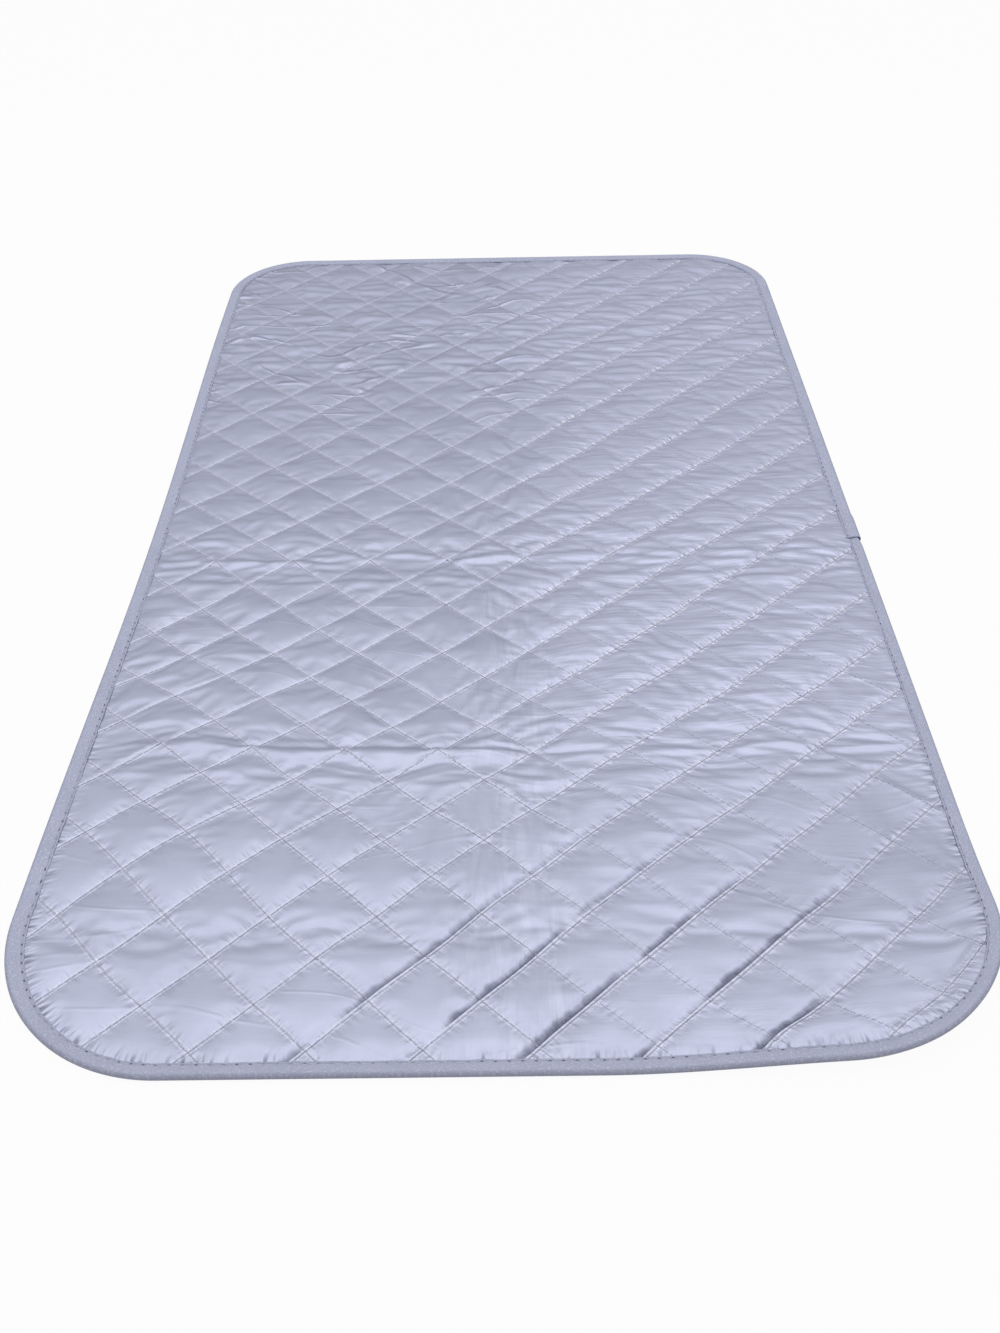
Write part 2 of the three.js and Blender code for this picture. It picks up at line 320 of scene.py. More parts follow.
def open_piece():
    """Opens the active piece for editing, with all of it selected."""
    edit_piece()
    bpy.ops.mesh.select_all(action="SELECT")


def close_piece():
    bpy.ops.object.mode_set(mode="OBJECT")


def start():
    """Leaves nothing selected before a new piece is begun."""
    if bpy.context.mode != "OBJECT":
        close_piece()
    bpy.ops.object.select_all(action="DESELECT")


def name_piece(name):
    piece = bpy.context.object
    piece.name = name
    piece.data.name = name
    return piece


def add_object(name, data):
    made = bpy.data.objects.new(name, data)
    bpy.context.scene.collection.objects.link(made)
    return made


def take_up(piece):
    """Makes a piece the only one selected and the active one."""
    start()
    piece.select_set(True)
    bpy.context.view_layer.objects.active = piece


def flip_faces():
    """Turns the faces of the active piece over."""
    open_piece()
    bpy.ops.mesh.flip_normals()
    close_piece()


def thicken(piece, thickness, offset):
    """Gives the active piece a thickness."""
    modifier = piece.modifiers.new("Solidify", "SOLIDIFY")
    modifier.thickness = thickness
    modifier.offset = offset
    bpy.ops.object.modifier_apply(modifier="Solidify")


def select_only(piece, kind, chosen):
    """Leaves edit mode open with only the chosen points or edges of a piece selected."""
    edit_piece()
    bpy.ops.mesh.select_mode(type=kind)
    bpy.ops.mesh.select_all(action="DESELECT")
    close_piece()
    parts = piece.data.vertices if kind == "VERT" else piece.data.edges
    parts.foreach_set("select", chosen)
    edit_piece()


def long_edges(piece, length):
    """Which edges of a piece are over a length."""
    ends = np.empty(len(piece.data.edges) * 2, dtype=np.int64)
    piece.data.edges.foreach_get("vertices", ends)
    points = coordinates(piece)[ends.reshape(-1, 2)]
    return np.linalg.norm(points[:, 0] - points[:, 1], axis=1) > length


def map_points(piece, name, across, along):
    """Gives the piece a map from each point's place across and along."""
    layer = piece.data.uv_layers.get(name) or piece.data.uv_layers.new(name=name)
    corners = np.empty(len(piece.data.loops), dtype=np.int64)
    piece.data.loops.foreach_get("vertex_index", corners)
    layer.data.foreach_set("uv", np.column_stack([across, along])[corners].ravel())


def quilt_grid(name, cells, inset):
    """A flat cloth whose grid runs with the stitch lines, cut to the pad's outline."""
    start()
    reach = 2 * math.ceil((WIDTH + LENGTH) / 2 / ROOT_2 / SIDE + 1.5)
    bpy.ops.mesh.primitive_grid_add(
        x_subdivisions=reach * cells,
        y_subdivisions=reach * cells,
        size=reach * SIDE,
        location=(0, 0, 0),
    )
    cloth = name_piece(name)
    open_piece()
    bpy.ops.transform.rotate(value=math.pi / 4, orient_axis="Z", center_override=(0, 0, 0))
    close_piece()
    points = coordinates(cloth)
    across, along = points[:, 0].copy(), points[:, 1].copy()
    u, v = (along + across) / ROOT_2, (along - across) / ROOT_2
    points[:, 0], points[:, 1] = pad_place(u, v)
    set_coordinates(cloth, points)
    x, y = points[:, :2].T
    select_only(cloth, "VERT", edge_distance(x, y) < inset)
    bpy.ops.mesh.delete(type="VERT")
    close_piece()
    return cloth


def settle(cloth, spare, sewn):
    """Draws a cloth with spare length in to its stitch lines, where it buckles as sewn cloth."""
    drawn = coordinates(cloth)
    set_coordinates(cloth, (drawn + spare) * SETTLE_SCALE)
    cloth.shape_key_add(name="cut")
    key = cloth.shape_key_add(name="sewn")
    key.data.foreach_set("co", np.ascontiguousarray(drawn * SETTLE_SCALE).ravel())
    key.value = 0
    key.keyframe_insert("value", frame=1)
    key.value = 1
    key.keyframe_insert("value", frame=DRAW_FRAMES)
    group = cloth.vertex_groups.new(name="sewn")
    group.add([int(i) for i in np.nonzero(sewn)[0]], 1.0, "REPLACE")
    modifier = cloth.modifiers.new("Cloth", "CLOTH")
    for name, value in CLOTH_FEEL.items():
        setattr(modifier.settings, name, value)
    modifier.settings.effector_weights.gravity = 0
    modifier.collision_settings.use_collision = False
    modifier.collision_settings.use_self_collision = False
    modifier.point_cache.frame_start = 1
    modifier.point_cache.frame_end = SETTLE_FRAMES
    for number in range(1, SETTLE_FRAMES + 1):
        bpy.context.scene.frame_set(number)
    take_up(cloth)
    bpy.ops.object.convert(target="MESH")
    for action in list(bpy.data.actions):
        bpy.data.actions.remove(action)
    bpy.context.scene.frame_set(1)
    cloth.vertex_groups.clear()
    set_coordinates(cloth, coordinates(cloth) / SETTLE_SCALE)


class Quilt:
    """Places on a quilted cloth, with how free the cloth is at each."""

    def __init__(self, points):
        self.x, self.y = points[:, 0], points[:, 1]
        self.u, self.v = quilt_place(self.x, self.y)
        self.from_falling = off_line(self.u)
        self.from_rising = off_line(self.v)
        self.from_seam = edge_distance(self.x, self.y) - seam_inset(self.x, self.y)
        self.rim = smooth(self.from_seam, 0, 5 * MM)
        self.right = smooth(self.x, *RIGHT_ZONE)
        front = 1 - smooth(self.y, -0.24, -0.12)
        self.round = (1 - self.right) * (0.5 + 0.5 * front)
        self.stray = CREASE_STRAY * ripple(self.x / 0.11, np.full_like(self.y, 3.3), 6)
        on_line = np.minimum(self.from_falling, self.from_rising) < 0.2 * MM
        self.sewn = (on_line & ~self.loose()) | (self.from_seam < 0)

    def loose(self):
        """Where a hard crease lifts the stitch lines on the left."""
        lifted = np.zeros(len(self.x), dtype=bool)
        for place, wide in LOOSE_CREASES:
            lifted |= np.abs(self.y - place + self.stray) < wide * (1 - self.right)
        return lifted

    def fill(self, place):
        """The rise over one diamond: steep behind a line, level, and gentle up to the next."""
        behind = behind_line(place)
        steep = 1 - np.exp(-behind / ((2.3 + 2.2 * self.round) * MM))
        gentle = 1 - np.exp(-(SIDE - behind) / ((4.5 + 4.0 * self.round) * MM))
        return steep * gentle

    def crown(self, height, shallow):
        """Full diamonds, flattest at the front. On the right the falling lines are shallow."""
        falling = 1 - (1 - shallow * self.right) * (1 - self.fill(self.u))
        edge = 1 - np.exp(-np.clip(self.from_seam, 0, 1) / (4 * MM))
        plump = 0.6 + 0.3 * (1 - self.right)
        full = plump + (1 - plump) * smooth(self.y, -0.34, -0.1)
        loft = height * full * (1 + 0.5 * self.round)
        loft = loft * (1 + 0.22 * ripple(self.x / 0.06, self.y / 0.06, 17))
        return loft * falling * self.fill(self.v) * edge

    def free(self):
        """0 on the stitch lines and the rim, 1 where nothing holds the cloth."""
        falling = smooth(self.from_falling, 0, 4 * MM)
        held = falling + (1 - falling) * 0.6 * self.right
        return held * smooth(self.from_rising, 0, 4 * MM) * self.rim

    def spare(self):
        """How far the cloth lies from its sewn place before it is drawn in."""
        ease = 0.1 + 0.8 * smooth(self.y, -0.30, -0.15) + 0.2 * smooth(self.y, 0.05, 0.25)
        along = ease * (0.005 * self.y + 0.15 * MM * ripple(self.x / 0.05, self.y / 0.028, 3))
        for number, (place, wide, length) in enumerate(CROSS_CREASES):
            away = self.y - place + self.stray
            own = np.full_like(self.y, number + 0.5)
            varied = 0.5 * ripple(self.x / 0.08, own, 8) - 0.35 * self.right
            length = length * (1 + varied * np.exp(-((away / CREASE_BLEND) ** 2)))
            along = along + 0.5 * length * np.tanh(1.2 * away / wide)
        place, wide, length = LONG_CREASE
        front = 1 - 0.85 * smooth(-self.y, 0.05, 0.2)
        across = ease * (0.003 * self.x + 0.12 * MM * ripple(self.x / 0.03, self.y / 0.05, 4))
        across = across + 0.5 * length * front * np.tanh(1.4 * (self.x - place) / wide)
        rough = ease * 0.2 * MM * ripple(self.x / 0.012, self.y / 0.009, 5) * self.free()
        return np.column_stack([across, along, rough])

    def puckers(self):
        """Gathers drawn in along the tape, longest at the front right."""
        ends = smooth(np.abs(self.y), 0.36, 0.395)
        at_ends = ripple(self.x / 0.010, self.y / 0.05, 15) * ends
        at_sides = ripple(self.y / 0.012, self.x / 0.05, 18) * (1 - ends)
        patchy = smooth(ripple(self.x / 0.05, self.y / 0.05, 19), -0.4, 0.5)
        far = (5 + 5 * self.right) * MM
        near = np.exp(-np.clip(self.from_seam, 0, 1) / far) * smooth(self.from_seam, 0, 2.5 * MM)
        return 0.9 * MM * (at_ends + at_sides) * patchy * near

    def crests(self):
        """Sharp crosswise crests that the cloth was pressed into, most at the rear left."""
        sway = 0.3 * ripple(self.x / 0.04, self.y / 0.05, 26)
        line = np.abs(ripple(self.x / 0.09, self.y / 0.034 + sway, 24))
        ridge = np.clip(1 - line / 0.22, 0, 1) ** 1.5
        patchy = smooth(ripple(self.x / 0.06, self.y / 0.04, 25), -0.15, 0.3)
        rear = 0.25 * smooth(self.y, -0.20, -0.05) + 0.75 * smooth(self.y, 0.10, 0.20)
        where = smooth(-self.x, -0.06, 0.02) * rear
        return ridge * patchy * where * (0.35 + 0.65 * self.free()) * self.rim

    def furrows(self):
        """Hollows where the front right is drawn in hard behind the rising lines."""
        slanted = self.x - FURROW_SLANT * (self.y + FURROW_FROM)
        drawn = smooth(slanted, *FURROW_ZONE) * (1 - smooth(self.y, -0.36, -0.24))
        own = np.floor(self.v / SIDE) * 3.7 + 0.5
        patchy = smooth(ripple(self.u / 0.035, own, 23), -0.25, 0.35)
        hollow = np.exp(-(((behind_line(self.v) - 3 * MM) / (1.7 * MM)) ** 2))
        return drawn * patchy * hollow * self.rim


def make_cloth(name, cells, height, shallow, spare_share):
    """A cloth drawn in to its stitch lines, with its quilt. Heights are from the stitches."""
    cloth = quilt_grid(name, cells, RIM_INSET)
    points = coordinates(cloth)
    quilt = Quilt(points)
    points[:, 2] = quilt.crown(height, shallow)
    set_coordinates(cloth, points)
    settle(cloth, spare_share * quilt.spare(), quilt.sewn)
    return cloth, quilt


def map_cloth(cloth, quilt, *more):
    """Maps by the stitch lines, by the lie of the pad and for the bake."""
    for name, across, along in (
        ("cut", quilt.u, quilt.v),
        ("lie", quilt.x, quilt.y),
        *more,
        ("OFBake", quilt.x / BAKE_SPAN + 0.5, quilt.y / BAKE_SPAN + 0.5),
    ):
        map_points(cloth, name, across, along)


def make_face_cloth():
    cloth, quilt = make_cloth("face_cloth", FACE_CELLS, CROWN, FACE_SHALLOW, 1.0)
    points = coordinates(cloth)
    relief = quilt.puckers() + CREST_HIGH * quilt.crests() - FURROW_DEEP * quilt.furrows()
    points[:, 2] = np.maximum(points[:, 2], HOLLOW_SHARE * points[:, 2])
    points[:, 2] += relief + FACE_SEWN
    set_coordinates(cloth, points)
    bpy.ops.object.shade_smooth()
    map_cloth(cloth, quilt, ("rim", rim_along(quilt.x, quilt.y), quilt.from_seam))
    return cloth


def make_backing_cloth():
    """The woven cloth underneath, which hangs from the stitches down to the table."""
    cloth, quilt = make_cloth("backing_cloth", BACKING_CELLS, BACK_CROWN, BACK_SHALLOW, BACK_SPARE)
    points = coordinates(cloth)
    drop = BACK_DROP * points[:, 2] + BACK_PUCKER * quilt.puckers()
    points[:, 2] = np.maximum(BACKING_SEWN - drop, LOWEST)
    set_coordinates(cloth, points)
    flip_faces()
    bpy.ops.object.shade_smooth()
    map_cloth(cloth, quilt)
    return cloth


def tree_of(piece):
    return BVHTree.FromPolygons(
        [tuple(p) for p in coordinates(piece)],
        [tuple(p.vertices) for p in piece.data.polygons],
    )


def height_on(tree, x, y, from_above, fallback):
    """The height of a surface over each place, met from above or from below."""
    high, down = (0.1, Vector((0, 0, -1))) if from_above else (-0.1, Vector((0, 0, 1)))
    found = np.full(len(x), fallback)
    for k, (a, b) in enumerate(zip(x, y)):
        met = tree.ray_cast(Vector((a, b, high)), down)[0]
        if met is not None:
            found[k] = met.z
    return found


def make_wadding(face_tree, backing_tree):
    """The springy sheet between the two cloths, cut a little smaller than they are."""
    wadding = quilt_grid("wadding", WADDING_CELLS, WADDING_INSET)
    thicken(wadding, 1.0, 0)
    points = coordinates(wadding)
    top = points[:, 2] > 0
    x, y = points[:, 0], points[:, 1]
    steps = (-WADDING_LOOK, 0, WADDING_LOOK)
    near = [(x + a, y + b) for a in steps for b in steps]
    low = np.max([height_on(backing_tree, *spot, False, BACKING_SEWN) for spot in near], axis=0)
    high = np.min([height_on(face_tree, *spot, True, FACE_SEWN) for spot in near], axis=0)
    risen = WADDING_RISE * np.maximum(high - FACE_SEWN, 0)
    high = np.minimum(high - WADDING_UNDER_FACE, FACE_SEWN - WADDING_UNDER_SEAM + risen)
    under = low + WADDING_OVER_BACKING
    points[:, 2] = np.where(top, np.maximum(high, low + WADDING_LEAST), under)
    set_coordinates(wadding, points)
    bpy.ops.object.shade_smooth()
    return wadding


def tape_reach(x, y):
    """How far the tape reaches on to the pad: less at the front and at the front right."""
    out = outward_of(x, y)
    front = np.maximum(-out[:, 1], 0) ** 2
    right = np.maximum(out[:, 0], 0) ** 2 * smooth(-y, -0.01, 0.03)
    return TAPE_REACH - FRONT_TAKE_UP * front - RIGHT_TAKE_UP * right


def seam_inset(x, y):
    return tape_reach(x, y) - SEAM_FROM_TAPE_EDGE


def tape_section():
    """The tape's fold over the edge, from its top inner edge round to its lower one."""
    top = []
    for reach in np.linspace(TAPE_REACH, TAPE_ROLL, 9):
        dip = float(smooth(reach, 0.35 * TAPE_REACH, SEAM_INSET))
        top.append((reach, TAPE_TOP - (TAPE_TOP - SEAM_TOP) * dip))
    turns = np.linspace(math.pi / 2, 3 * math.pi / 2, 11)[1:-1]
    roll = [(TAPE_ROLL * (1 + math.cos(t)), TAPE_ROLL * (1 + math.sin(t))) for t in turns]
    under = [(reach, 0.0) for reach in np.linspace(TAPE_ROLL, TAPE_REACH, 6)]
    return top + roll + under


def extrude_tape(move, times=1):
    for _ in range(times):
        step = tuple(part / times for part in move)
        bpy.ops.mesh.extrude_edges_move(TRANSFORM_OT_translate={"value": step})


def turn_corner(side_x, side_y, corner):
    centre = (side_x * (WIDTH / 2 - corner), side_y * (LENGTH / 2 - corner), 0)
    steps = round(corner * math.pi / 2 / TAPE_STEP)
    bpy.ops.mesh.spin(steps=steps, angle=math.pi / 2, center=centre, axis=(0, 0, 1))


def sweep_tape():
    """The tape swept round the pad, with -1 for each point under the lap and 1 for each in it."""
    section = tape_section()
    places = [(WIDTH / 2 - reach, LAP_START, high) for reach, high in section]
    start()
    bpy.ops.mesh.primitive_plane_add(size=2, location=(0, 0, 0))
    tape = name_piece("edge_binding")
    select_only(tape, "VERT", np.arange(4) > 0)
    bpy.ops.mesh.delete(type="VERT")
    close_piece()
    set_coordinates(tape, np.array(places[:1]))
    open_piece()
    for here, ahead in zip(places, places[1:]):
        move = tuple(np.array(ahead) - np.array(here))
        bpy.ops.mesh.extrude_vertices_move(TRANSFORM_OT_translate={"value": move})
    bpy.ops.mesh.select_all(action="SELECT")
    bpy.ops.mesh.select_mode(type="EDGE")
    extrude_tape((0, UNDER_END - LAP_START, 0), LAP_STEPS)
    close_piece()
    under_count = len(tape.data.vertices)
    edit_piece()
    front_end = -(LENGTH / 2 - FRONT_CORNER)
    rear_end = LENGTH / 2 - REAR_CORNER
    extrude_tape((0, front_end - UNDER_END, 0))
    turn_corner(1, -1, FRONT_CORNER)
    extrude_tape((-(WIDTH - 2 * FRONT_CORNER), 0, 0))
    turn_corner(-1, -1, FRONT_CORNER)
    extrude_tape((0, rear_end - front_end, 0))
    turn_corner(-1, 1, REAR_CORNER)
    extrude_tape((WIDTH - 2 * REAR_CORNER, 0, 0))
    turn_corner(1, 1, REAR_CORNER)
    extrude_tape((0, OVER_BEGIN - rear_end, 0))
    close_piece()
    over_from = len(tape.data.vertices)
    edit_piece()
    extrude_tape((0, LAP_END - OVER_BEGIN, 0), LAP_STEPS)
    close_piece()
    over_to = len(tape.data.vertices)
    part = np.zeros(over_to)
    part[:under_count] = -1
    part[over_from:over_to] = 1
    for _ in range(MOST_CUTS):
        close_piece()
        chosen = long_edges(tape, 1.5 * TAPE_STEP)
        select_only(tape, "EDGE", chosen)
        if not chosen.any():
            break
        bpy.ops.mesh.subdivide(number_cuts=1)
    bpy.ops.mesh.select_all(action="SELECT")
    bpy.ops.mesh.normals_make_consistent(inside=False)
    close_piece()
    return tape, np.concatenate([part, np.zeros(len(tape.data.vertices) - len(part))])


def make_edge_binding():
    """One tape from under its own lap round to the lap's cut end, pressed in along its seam."""
    tape, part = sweep_tape()
    points = coordinates(tape)
    x, y, z = points.T
    reach = edge_distance(x, y)
    along = rim_along(x, y) + np.where((part > 0) & (y < 0), RIM_LENGTH, 0)
    upper = smooth(z, 0.4 * TAPE_TOP, 0.75 * TAPE_TOP)
    under = np.where(part < 0, smooth(y, UNDER_END, UNDER_END + LAP_FADE), 0)
    over = np.where(part > 0, smooth(OVER_BEGIN - y, 0, LAP_FADE), 0)
    outward = outward_of(x, y)
    wide = tape_reach(x, np.where(part > 0, np.abs(y), y))
    share = np.clip((reach - TAPE_ROLL) / (TAPE_REACH - TAPE_ROLL), 0, 1)
    swell = LAP_RAISE * over - TUCK * under
    points[:, :2] += outward * (swell * (1 - smooth(reach, 0, TAPE_ROLL)))[:, None]
    points[:, :2] += outward * ((TAPE_REACH - wide) * share)[:, None]
    points[:, 2] += swell * upper + TUCK * under * (1 - upper)
    seam = np.exp(-(((reach - SEAM_INSET) / (1.1 * MM)) ** 2))
    hole = 0.5 + 0.5 * np.cos(2 * math.pi * along / SEAM_PITCH)
    sag = 0.22 * MM * ripple(along / 0.03, reach / 0.02, 31) * smooth(reach, 0, 0.004)
    points[:, 2] += upper * (sag - (0.05 + 0.12 * hole) * MM * seam)
    ragged = 0.3 * MM * ripple(along / 0.008, np.zeros_like(reach), 33)
    points[:, :2] -= outward * (ragged * smooth(reach, 0.006, TAPE_REACH))[:, None]
    set_coordinates(tape, points)
    map_points(tape, "tape", along, np.where(z > TAPE_ROLL, reach, -reach))
    high_faces = [p.normal.z for p in tape.data.polygons if p.center.z > 0.7 * TAPE_TOP]
    if np.mean(high_faces) < 0:
        flip_faces()
    thicken(tape, TAPE_THICK, -1)
    bpy.ops.object.shade_smooth()
    return tape


def rim_along(x, y):
    """How far along the edge a place lies, from the middle of the right side by the front."""
    _, over_x, over_y = past_sides(x, y)
    turn = np.arctan2(np.maximum(over_y, 0), np.maximum(over_x, 1e-9))
    turning = (over_x > 0) & (over_y > 0)
    beside = over_x - np.maximum(over_y, 0) > over_y - np.maximum(over_x, 0)
    runs = RIM_RUNS
    right, front = x > 0, y < 0
    cases = [
        turning & right & front,
        turning & ~right & front,
        turning & ~right & ~front,
        turning & right & ~front,
        beside & right & front,
        beside & right & ~front,
        beside & ~right,
        ~beside & front,
    ]
    values = [
        runs[1] + turn * FRONT_CORNER,
        runs[3] + (math.pi / 2 - turn) * FRONT_CORNER,
        runs[5] + turn * REAR_CORNER,
        runs[7] + (math.pi / 2 - turn) * REAR_CORNER,
        -y,
        RIM_LENGTH - y,
        runs[4] + (LENGTH / 2 - FRONT_CORNER) + y,
        runs[2] + (WIDTH / 2 - FRONT_CORNER) - x,
    ]
    return np.select(cases, values, runs[6] + (WIDTH / 2 - REAR_CORNER) + x)


def outward_of(x, y):
    """The level direction straight out over the nearest edge."""
    _, past_x, past_y = past_sides(x, y)
    out_x = np.sign(x) * np.maximum(past_x, 0)
    out_y = np.sign(y) * np.maximum(past_y, 0)
    return np.column_stack([out_x, out_y]) / np.maximum(np.hypot(out_x, out_y), 1e-9)[:, None]


def rim_places(along, inset):
    """Places at an inset from the edge, and the heading of the edge there."""
    arcs = [np.array([[WIDTH / 2, 0]])]
    for side_x, side_y, corner, turn in (
        (1, -1, FRONT_CORNER, 0),
        (-1, -1, FRONT_CORNER, -math.pi / 2),
        (-1, 1, REAR_CORNER, -math.pi),
        (1, 1, REAR_CORNER, -3 * math.pi / 2),
    ):
        turns = np.linspace(turn, turn - math.pi / 2, 90)
        centre = np.array([side_x * (WIDTH / 2 - corner), side_y * (LENGTH / 2 - corner)])
        arcs.append(centre + corner * np.column_stack([np.cos(turns), np.sin(turns)]))
    arcs.append(arcs[0])
    path = np.concatenate(arcs)
    far = np.concatenate([[0], np.cumsum(np.linalg.norm(np.diff(path, axis=0), axis=1))])
    far *= RIM_LENGTH / far[-1]
    x, y = np.interp(along, far, path[:, 0]), np.interp(along, far, path[:, 1])
    out = outward_of(x * (1 - 1e-9), y * (1 - 1e-9))
    heading = np.arctan2(-out[:, 0], out[:, 1])
    return np.column_stack([x, y]) - inset(x, y)[:, None] * out, heading


def quilt_stitches(rising):
    """Middles, headings and lengths, in pitches, of the stitches on the lines of one direction."""
    middles, ways = [], []
    for number in range(-QUILT_LINES, QUILT_LINES + 1):
        run = np.arange(-LINE_REACH, LINE_REACH, QUILT_PITCH)
        run = run + QUILT_PITCH * (number * LINE_PHASE % 1)
        held = np.full(len(run), number * SIDE)
        begin, end = [
            np.column_stack(pad_place(along, held) if rising else pad_place(held, along))
            for along in (run - QUILT_PITCH / 2, run + QUILT_PITCH / 2)
        ]
        x, y = (begin + end).T / 2
        inside = edge_distance(x, y) > seam_inset(x, y)
        middles.append(np.column_stack([x, y])[inside])
        ways.append((end - begin)[inside])
    middles, ways = np.concatenate(middles), np.concatenate(ways)
    headings = np.arctan2(ways[:, 1], ways[:, 0])
    return middles, headings, np.hypot(ways[:, 0], ways[:, 1]) / QUILT_PITCH


def model_stitch(length):
    """One stitch: a soft thread that dips into the cloth at both ends."""
    start()
    bpy.ops.mesh.primitive_uv_sphere_add(segments=6, ring_count=4, radius=0.5, location=(0, 0, 0))
    stitch = name_piece("stitch")
    open_piece()
    bpy.ops.transform.rotate(value=math.pi / 2, orient_axis="Y", center_override=(0, 0, 0))
    bpy.ops.transform.resize(value=(length, STITCH_WIDE, STITCH_HIGH), center_override=(0, 0, 0))
    close_piece()
    far = np.abs(coordinates(stitch)[:, 0]) / length
    select_only(stitch, "VERT", (far > 0.2) & (far < 0.45))
    bpy.ops.transform.resize(value=(1.12, 1.3, 1.3), center_override=(0, 0, 0))
    close_piece()
    select_only(stitch, "VERT", far > 0.45)
    bpy.ops.transform.translate(value=(0, 0, -STITCH_DIP))
    close_piece()
    return stitch


def sew(name, stitch, middles, headings, lengths, tree, ground, from_above, seed):
    """Copies the stitch to every place, each following the cloth under it."""
    shape = coordinates(stitch)
    uv = np.empty(len(stitch.data.loops) * 2)
    stitch.data.uv_layers.active.data.foreach_get("uv", uv)
    chance = np.random.RandomState(seed)
    count = len(middles)
    turn = (headings + chance.normal(0, TURN_JITTER, count))[:, None]
    along = shape[:, 0] * (lengths * chance.uniform(*LENGTH_JITTER, count))[:, None]
    across = shape[:, 1] + chance.normal(0, SIDE_JITTER, count)[:, None]
    spine_x = middles[:, :1] + along * np.cos(turn)
    spine_y = middles[:, 1:] + along * np.sin(turn)
    under = height_on(tree, spine_x.ravel(), spine_y.ravel(), from_above, ground)
    under = under.reshape(count, -1)
    lift = shape[:, 2] + STITCH_LIFT
    points = np.stack([
        spine_x - across * np.sin(turn),
        spine_y + across * np.cos(turn),
        under + lift if from_above else under - lift,
    ], axis=-1).reshape(-1, 3)
    faces = [tuple(p.vertices) for p in stitch.data.polygons]
    begins = range(0, len(points), len(shape))
    mesh = bpy.data.meshes.new(name)
    mesh.from_pydata(points, [], [[first + k for k in face] for first in begins for face in faces])
    mesh.uv_layers.new(name="thread").data.foreach_set("uv", np.tile(uv, count))
    piece = add_object(name, mesh)
    take_up(piece)
    if not from_above:
        flip_faces()
    bpy.ops.object.shade_smooth()
    return piece


class Wire:
    """A shader socket that takes part in sums."""

    def __init__(self, tree, socket=None):
        self.tree = tree
        self.socket = socket

    def node(self, kind, sockets=None, settings=None, out=0):
        made = self.tree.nodes.new("ShaderNode" + kind)
        for name, value in (settings or {}).items():
            setattr(made, name, value)
        for name, value in (sockets or {}).items():
            if isinstance(value, Wire):
                self.tree.links.new(value.socket, made.inputs[name])
            else:
                made.inputs[name].default_value = value
        return Wire(self.tree, made.outputs[out] if len(made.outputs) else None)

    def math(self, operation, first, second=0.0):
        return self.node("Math", {0: first, 1: second}, {"operation": operation})

    def __add__(self, other):
        return self.math("ADD", self, other)

    __radd__ = __add__

    def __sub__(self, other):
        return self.math("SUBTRACT", self, other)

    def __rsub__(self, other):
        return self.math("SUBTRACT", other, self)

    def __mul__(self, other):
        return self.math("MULTIPLY", self, other)

    __rmul__ = __mul__

    def split(self):
        """The first two parts of a vector."""
        parts = self.node("SeparateXYZ", {0: self})
        return parts, Wire(self.tree, parts.socket.node.outputs[1])

    def mapped(self, name):
        """The two measures of a map."""
        return self.node("UVMap", settings={"uv_map": name}).split()

    def grain(self, across, along, detail=2.0, rough=0.5):
        """Noise over two measures, about 0.5 on the mean."""
        place = self.node("CombineXYZ", {0: across, 1: along})
        return self.node(
            "TexNoise",
            {"Vector": place, "Scale": 1.0, "Detail": detail, "Roughness": rough},
            {"noise_dimensions": "2D"},
        )

    def waves(self, across, along, detail):
        """Noise about 0 on the mean."""
        return self.grain(across, along, detail) - 0.5

    def off(self, place):
        """How far a measure lies from a place."""
        return self.math("ABSOLUTE", self - place)

    def eased(self, low, high):
        """1 below low, 0 above high, smooth between."""
        return self.node(
            "MapRange",
            {"Value": self, "From Min": low, "From Max": high, "To Min": 1.0, "To Max": 0.0},
            {"interpolation_type": "SMOOTHSTEP"},
        )

    def near(self, low, high):
        """As eased, in millimetres."""
        return self.eased(low * MM, high * MM)

    def tone(self, share, first, second):
        """A colour between two."""
        sockets = {"Factor": share, 6: first, 7: second}
        return self.node("Mix", sockets, {"data_type": "RGBA"}, out=2)

    def coated(self, colour, *coats):
        """A colour under coats, each a share and a shade as seen."""
        for share, shade in coats:
            colour = self.tone(share, colour, srgb(*shade))
        return colour


def new_finish(name):
    """A new finish and the wire that starts its nodes."""
    finish = bpy.data.materials.new(name)
    finish.use_nodes = True
    finish.node_tree.nodes.clear()
    return finish, Wire(finish.node_tree)


def put_out(wire, sockets):
    shader = wire.node("BsdfPrincipled", sockets)
    wire.node("OutputMaterial", {"Surface": shader})


def bump(wire, height, distance):
    return wire.node("Bump", {"Height": height, "Distance": distance})


def srgb(red, green, blue):
    """A colour as seen, from 0 to 255, turned into light."""
    parts = [c / 255 for c in (red, green, blue)]
    return tuple(c / 12.92 if c < 0.04045 else ((c + 0.055) / 1.055) ** 2.4 for c in parts) + (1,)


def quilt_lines(wire):
    """Places across both families of stitch lines, and how far the nearest lines are."""
    u, v = wire.mapped("cut")
    return u, v, wire.math("PINGPONG", u, SIDE / 2), wire.math("PINGPONG", v, SIDE / 2)


